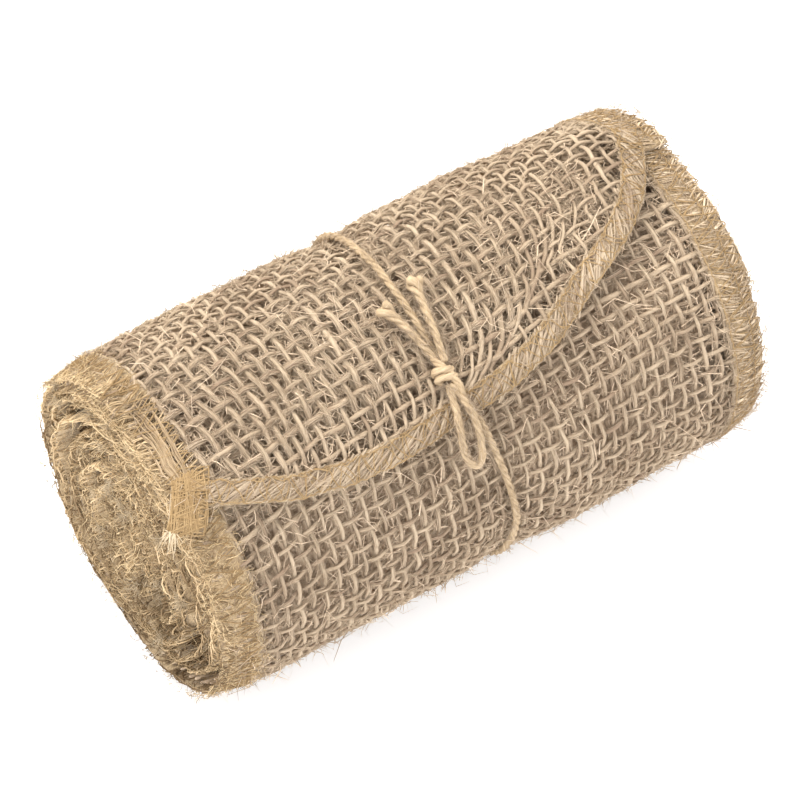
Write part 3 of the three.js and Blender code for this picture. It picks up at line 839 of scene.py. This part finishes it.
def corner_tab():
    """The corner where the two overlocks cross: a padded patch, over it many fine threads, most across the
    strip's edge and some along it, each a shallow arc over the patch, and a tuft beyond it."""
    on_tab = lambda u, v: (TAB[0] + 3.6 * u - 3.4 * v, TAB[1] + 1.4 * u + 5.6 * v)
    v = np.linspace(-1, 1, 13)[:, None]
    u = np.linspace(-1, 1, 13)[None]
    x, arc = on_tab(u, v)
    round_off = 0.5 * (u ** 6 + v ** 6)
    pad = slab("corner_tab_cloth", place(x, arc, 0.15 - round_off + 0.1 * ripple(131, 3, x, arc)),
               place(x, arc, -1.3 + 0.3 * round_off), hem_cloth)
    rng = np.random.default_rng(132)
    n = 120
    across = rng.random((n, 1)) < 0.7
    t = np.linspace(-1, 1, 11)[None]
    at = rng.uniform(-1, 1, (n, 1))
    tilt = rng.normal(0, 0.22, (n, 1))
    long_way, short_way = t, at + tilt * t
    uu = np.where(across, long_way * rng.uniform(0.7, 1.04, (n, 1)), short_way)
    vv = np.where(across, short_way, long_way * rng.uniform(0.8, 1.08, (n, 1)))
    uu, vv = np.clip(uu, -1.08, 1.08), np.clip(vv, -1.1, 1.1)
    x, arc = on_tab(uu, vv)
    high = 0.32 + rng.uniform(0, 0.35, (n, 1)) - 0.3 * (uu ** 6 + vv ** 6)
    threads = yarns("corner_tab_threads", place(x, arc, high), outward(x, arc), 0.33, 0.3, 5,
                    rng.uniform(0.2, 1, n), thread_gold)
    k = 40
    t = np.linspace(0, 1, 8)[None]
    x, arc = on_tab(-0.85 + 0.15 * rng.normal(0, 1, (k, 1)), 0.9)
    x = x - (1.6 + 1.1 * rng.normal(0, 1, (k, 1))) * t
    arc = arc + (2.2 + 1.3 * rng.normal(0, 1, (k, 1))) * t
    tuft = yarns("corner_tuft", place(x, arc, -0.4 + 0.5 * np.sin(np.pi * t) + rng.normal(0, 0.3, (k, 1))),
                 outward(x, arc), 0.4 * (1 - 0.8 * t), 0.36 * (1 - 0.8 * t), 5, rng.uniform(0.5, 1, k),
                 tuft_jute)
    return pad, threads, tuft


tab_pad, tab_threads, tab_tuft = corner_tab()


# ---- loose fibre


def hairs(name, root, way, long, thick, curl, seed, material, tone=None):
    """Loose fibres, one to each root (n, 3): three-sided, tapering to a point, each bent to one side by curl.
    They are shorter near the floor."""
    rng = np.random.default_rng(seed)
    n = len(root)
    bend = unit(np.cross(way, rng.normal(0, 1, (n, 3))), 1e-9)
    t = np.array([0, 0.5, 1.0])[None, :, None]
    long = (np.broadcast_to(long, n) * (0.3 + 0.7 * smooth(0, 0.012, root[:, 2])))[:, None, None] * MM
    s_bend = np.cross(way, bend)[:, None]
    sway = np.sin(t * 5 + rng.uniform(0, 6, (n, 1, 1)))
    line = root[:, None] + way[:, None] * t * long + bend[:, None] * curl * long * t ** 2
    line = line + s_bend * 0.18 * long * sway
    line[..., 2] = np.maximum(line[..., 2], 0.2 * MM)  # the floor bends them
    taper = np.array([1.0, 0.85, 0.4])[None] * np.broadcast_to(thick, n)[:, None]
    tone = rng.uniform(0, 1, n) if tone is None else tone
    return yarns(name, line, bend[:, None] + 0 * line, taper, taper, 3, tone, material, 2.0)


def cloth_hairs(name, n, x_range, arc_range, seed, high, long, material, stand, coarse=1.0):
    """Loose fibres over a stretch of the cloth, most lying flat and some standing up. With None for the last
    arc they stop at the end hem."""
    rng = np.random.default_rng(seed)
    x = rng.uniform(min(x_range), max(x_range), n)
    first, last = arc_range[0], arc_range[1] or end_hem_arc(x) - 1.5
    arc = first + (last - first) * rng.uniform(0, 1, n)
    root = place(x, arc, rng.uniform(*high, n))
    out, hoop = outward(x, arc), roundward(x, arc)
    axial = np.cross(hoop, out)
    turn = rng.uniform(0, 2 * np.pi, n)
    way = hoop * np.cos(turn)[:, None] + axial * np.sin(turn)[:, None]
    way = unit(way + out * np.abs(rng.normal(0, stand, n))[:, None])
    return hairs(name, root, way, rng.gamma(3.0, long / 3, n), coarse * rng.uniform(0.07, 0.16, n), 0.45,
                 seed + 1, material)


def edge_hairs(name, side, n, seed):
    """Loose fibres out of the strip's edge on one end of the roll, more of them on the outer turns."""
    rng = np.random.default_rng(seed)
    arc = INNER_END + (FLAP_START - INNER_END) * rng.uniform(0, 1, n) ** 0.8
    x = side * (end_reach(arc, side) - rng.uniform(0, 3.0, n))
    root = place(x, arc, rng.normal(MID_CLOTH, 0.45, n))
    along = roundward(x, arc) * rng.choice([-1, 1], (n, 1))
    off = [side * np.abs(rng.normal(0.25, 0.3, n)), rng.normal(0, 0.4, n), rng.normal(0, 0.4, n)]
    # the fibres' tone carries painted light from above and painted shade between the turns
    return hairs(name, root, unit(along + np.stack(off, -1)), rng.gamma(3.0, 0.7, n),
                 rng.uniform(0.08, 0.18, n), 0.5, seed + 1, end_hair_jute, turn_tone_and_painted_light(arc, seed + 2))


def end_hem_hairs(n, seed):
    """Loose fibres on the end hem, most of them combed along it."""
    rng = np.random.default_rng(seed)
    run, across = rng.uniform(2, END_HEM_LENGTH - 2, n), rng.normal(0, 1.9, n)
    root = place(*along_end_hem(run, across), rng.uniform(-0.1, 0.45, n))
    way = place(*along_end_hem(run + 0.5, across), 0) - root + rng.normal(0, 0.2, (n, 3)) * MM
    way = unit(way) * rng.choice([-1, 1], (n, 1))
    return hairs("end_hem_fibres", root, way, rng.gamma(3.0, 0.9, n), rng.uniform(0.07, 0.15, n), 0.5,
                 seed + 1, hair_jute)


def yarn_fibres(name, x, arc, n, seed, sign, material, lift=0.0):
    """Fibres that lie along the yarns whose flat middle lines are (x, arc). Each follows 3 to 7.5 mm of one
    yarn on the yarn's own surface, drifts round it, and stands off at both ends."""
    rng = np.random.default_rng(seed)
    yarn = rng.integers(0, len(x), n)
    step = np.linalg.norm([x[0, 1] - x[0, 0], arc[0, 1] - arc[0, 0]])
    start = rng.uniform(0, x.shape[1] - 1, n)[:, None]
    t = np.linspace(0, 1, 4)[None]
    index = np.clip(start + t * rng.uniform(3.0, 7.5, (n, 1)) / step, 0, x.shape[1] - 1.001)
    low, share = index.astype(int), index % 1
    flat = [v[yarn[:, None], low] * (1 - share) + v[yarn[:, None], low + 1] * share for v in (x, arc)]
    off = 1.0 + 0.9 * np.abs(2 * t - 1) ** 3 * rng.uniform(0, 1, (n, 1))
    angle = rng.uniform(0, 2 * np.pi, (n, 1)) + rng.normal(0, 1.2, (n, 1)) * t
    px, parc = woven(*flat)
    middle = MID_CLOTH + lift + sign * CRIMP * crossing(*flat) + 0.43 * off * np.sin(angle)
    wide = 0.62 * off * np.cos(angle)
    px, parc = (px + wide, parc) if sign > 0 else (px, parc + wide)
    thick = rng.uniform(0.09, 0.2, (n, 1)) * (1 - 0.5 * np.abs(2 * t - 1) ** 2)
    return yarns(name, place(px, parc, middle), outward(px, parc), thick, thick, 3, rng.uniform(0, 1, n),
                 material)


HAIRS_IN_TUFT = 34


def tufts(name, side, count, seed):
    """Pale fluff on an end of the roll: tight bunches of hairs that splay from one root."""
    rng = np.random.default_rng(seed)
    arc = np.repeat(INNER_END + (FLAP_START - INNER_END) * rng.uniform(0, 1, count), HAIRS_IN_TUFT)
    n = len(arc)
    root = place(side * (end_reach(arc, side) - 0.6), arc + rng.normal(0, 0.9, n), -1 + rng.normal(0, 0.6, n))
    way = np.repeat(rng.normal(0, 0.6, (count, 3)), HAIRS_IN_TUFT, axis=0) + rng.normal(0, 0.45, (n, 3))
    way[:, 0] = side * (0.35 + np.abs(way[:, 0]))
    return hairs(name, root, unit(way), rng.uniform(1.0, 2.8, n), rng.uniform(0.08, 0.17, n), 0.7, seed + 1,
                 tuft_jute)


def path_hairs(name, path, n, seed):
    """Short fibres that stand off a length of twine."""
    rng = np.random.default_rng(seed)
    at = rng.integers(1, len(path) - 1, n)
    along = unit(path[at + 1] - path[at - 1])
    out = unit(np.cross(along, rng.normal(0, 1, (n, 3))))
    way = unit(out * 0.6 + along * rng.choice([-1, 1], (n, 1)))
    root = path[at] + out * (0.42 * TWINE * MM)
    return hairs(name, root, way, rng.gamma(3.0, 0.6, n), rng.uniform(0.07, 0.14, n), 0.5, seed + 1,
                 hair_jute)


outer_arcs = (LAYERS["outer"][0] + 4, FLAP_START)
axial_steps = np.arange(outer_arcs[0] // AXIAL_STEP, join // AXIAL_STEP)
hoop_at = np.broadcast_arrays(HOOP_X, np.linspace(*outer_arcs, 250)[None])
axial_at = np.broadcast_arrays(np.linspace(-70, 70, 141)[None], (axial_steps * AXIAL_STEP)[:, None])
# The end hem takes up the flap's right side, so its fibres stop before that.
flap_hoop_at = np.broadcast_arrays(HOOP_X[:27], np.linspace(FLAP_START, 21, 60)[None])
flap_axial_at = np.broadcast_arrays(np.linspace(-70, 32, 103)[None], (np.arange(-3, 5) * AXIAL_STEP)[:, None])
cloth_fibres = [
    yarn_fibres("outer_hoop_fibres", *hoop_at, 5800, 211, 1, hair_jute),
    yarn_fibres("outer_axial_fibres", *axial_at, 4600, 213, -1, hair_jute),
    cloth_hairs("loose_cloth_fibres", 10300, (-71, 71), outer_arcs, 215, (-1.3, 0.1), 2.6, hair_jute, 0.2),
    cloth_hairs("nap_fibres", 10800, (-67, 67), outer_arcs, 217, (-1.9, -0.75), 3.2, nap_jute, 0.1, 2.3)]
flap_fibres = [
    yarn_fibres("flap_hoop_fibres", *flap_hoop_at, 2000, 221, 1, hair_jute, 0.1),
    yarn_fibres("flap_axial_fibres", *flap_axial_at, 1700, 223, -1, hair_jute, 0.1),
    cloth_hairs("loose_flap_fibres", 2200, (-70, 50), (FLAP_START, None), 225, (-1.3, 0.3), 2.6, hair_jute,
                0.25),
    cloth_hairs("flap_nap_fibres", 2200, (-68, 50), (FLAP_START, None), 227, (-1.8, -0.7), 3.2, nap_jute,
                0.1, 2.3),
    end_hem_hairs(1300, 229)]
left_end_hairs = edge_hairs("left_end_fibres", -1, 6400, 207)
right_end_hairs = edge_hairs("right_end_fibres", 1, 2800, 209)
left_tufts, right_tufts = tufts("left_end_fluff", -1, 30, 271), tufts("right_end_fluff", 1, 24, 273)
hem_fibres = [cloth_hairs(f"{word}_hem_fibres", 3900, (side * 62, side * 74), outer_arcs, 281 + side,
                          (-0.3, 0.5), 1.8, fibre, 0.3)
              for word, side, fibre in (("left", -1, end_hair_jute), ("right", 1, hair_jute))]
ring_hairs = path_hairs("twine_ring_fibres", tie_path(), 1600, 291)
loop_hairs = path_hairs("twine_loop_fibres", loop_path, 520, 293)
left_tail_hairs = path_hairs("twine_left_tail_fibres", left_tail_path, 260, 295)
right_tail_hairs = path_hairs("twine_right_tail_fibres", right_tail_path, 260, 297)


# ---- what each piece rides on, and the model's parts that the pieces stand for

ROLL = [outer_hoops, outer_axials, second_hoops, second_axials, inner_sheet, inner_end, left_hem, right_hem,
        left_edge, right_edge, left_chevrons, right_chevrons, left_threads, right_threads, *cloth_fibres,
        left_end_hairs, right_end_hairs, left_tufts, right_tufts, *hem_fibres]
for made in ROLL:
    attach(made, "roll")
TWINES = {"tie": (tie_twine, knot_twine, knot_cross, ring_hairs), "loop": (loop_twine, loop_hairs),
          "tail_left": (left_tail, left_tail_hairs), "tail_right": (right_tail, right_tail_hairs)}
for body, pieces in TWINES.items():
    for made in pieces:
        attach(made, body)

# The free end's pieces have their transforms baked into their meshes.
FLAP = [flap_hoops, flap_axials, end_base, end_strands, end_threads, flap_left_strands, flap_left_threads,
        flap_edge, *flap_fibres, tab_pad, tab_threads, tab_tuft]
for made in FLAP:
    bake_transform(made)

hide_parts("outer_wrap")
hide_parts("inner_turns")
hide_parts("inner_end_hem")
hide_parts("left_edge_hem")
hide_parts("right_edge_hem")
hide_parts("free_end_flap", "corner_cloth")
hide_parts("end_hem", "corner_end_hem")
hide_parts("left_flap_hem", "corner_side_hem")
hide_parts("corner_tab")
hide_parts("tie_ring")
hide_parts("bow_knot")
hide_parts("bow_loop")
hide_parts("left_tail")
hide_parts("right_tail")

strip_length = (FREE_END - INNER_END) * 0.5 * (1 + CORE / RADIUS_Z) * MM
strip_length * 0.8
